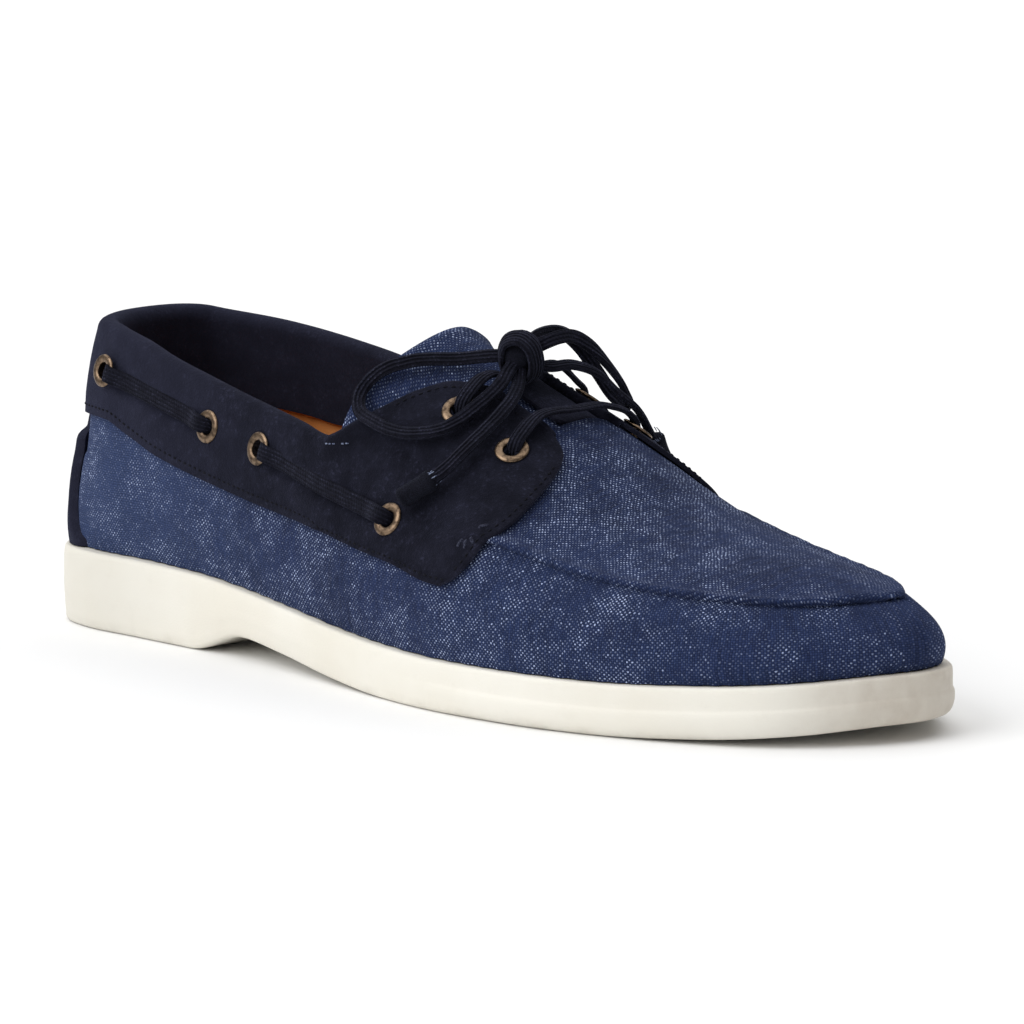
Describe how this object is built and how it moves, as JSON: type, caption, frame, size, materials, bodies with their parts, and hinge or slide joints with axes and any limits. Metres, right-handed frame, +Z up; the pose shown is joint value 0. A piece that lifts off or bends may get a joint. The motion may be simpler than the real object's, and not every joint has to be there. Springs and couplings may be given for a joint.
{
  "type": "boat shoe loafer",
  "caption": "Low canvas boat shoe for the right foot, with a suede collar laced along the sides, a bow at the throat and a white rubber sole.",
  "frame": {"origin": "on the floor, under the middle of the shoe's box without its bow", "axes": "+X points to the toe, along the shoe's length; +Y to the medial (inner) side of this right shoe; +Z up"},
  "size_m": [0.304, 0.104, 0.0949],
  "materials": {
    "blue_canvas": "linen weave with pale flecks",
    "navy_suede": "soft napped suede",
    "white_rubber": "matte off-white",
    "tan_leather": "smooth tan",
    "antique_brass": "aged",
    "navy_lace": "flat ribbed lace"
  },
  "bodies": {
    "root": {"outsole": "white_rubber", "insole": "tan_leather", "upper": "blue_canvas", "collar_band": "navy_suede", "heel_strip": "navy_suede", "tongue": "blue_canvas", "eyelet_side_1_lateral": "antique_brass", "eyelet_side_2_lateral": "antique_brass", "eyelet_side_3_lateral": "antique_brass", "eyelet_side_4_lateral": "antique_brass", "eyelet_throat_1_lateral": "antique_brass", "eyelet_throat_2_lateral": "antique_brass", "eyelet_side_1_medial": "antique_brass", "eyelet_side_2_medial": "antique_brass", "eyelet_side_3_medial": "antique_brass", "eyelet_side_4_medial": "antique_brass", "eyelet_throat_1_medial": "antique_brass", "eyelet_throat_2_medial": "antique_brass", "lace_bar_rear_lateral": "navy_lace", "lace_bar_front_lateral": "navy_lace", "lace_bar_rear_medial": "navy_lace", "lace_bar_front_medial": "navy_lace", "lace_cross_front": "navy_lace", "lace_cross_rear": "navy_lace", "lace_knot": "navy_lace", "lace_loop_left": "navy_lace", "lace_loop_right": "navy_lace", "lace_end_left": "navy_lace", "lace_end_right": "navy_lace", "lace_tip_left": "navy_lace", "lace_tip_right": "navy_lace"}
  },
  "joints": []
}
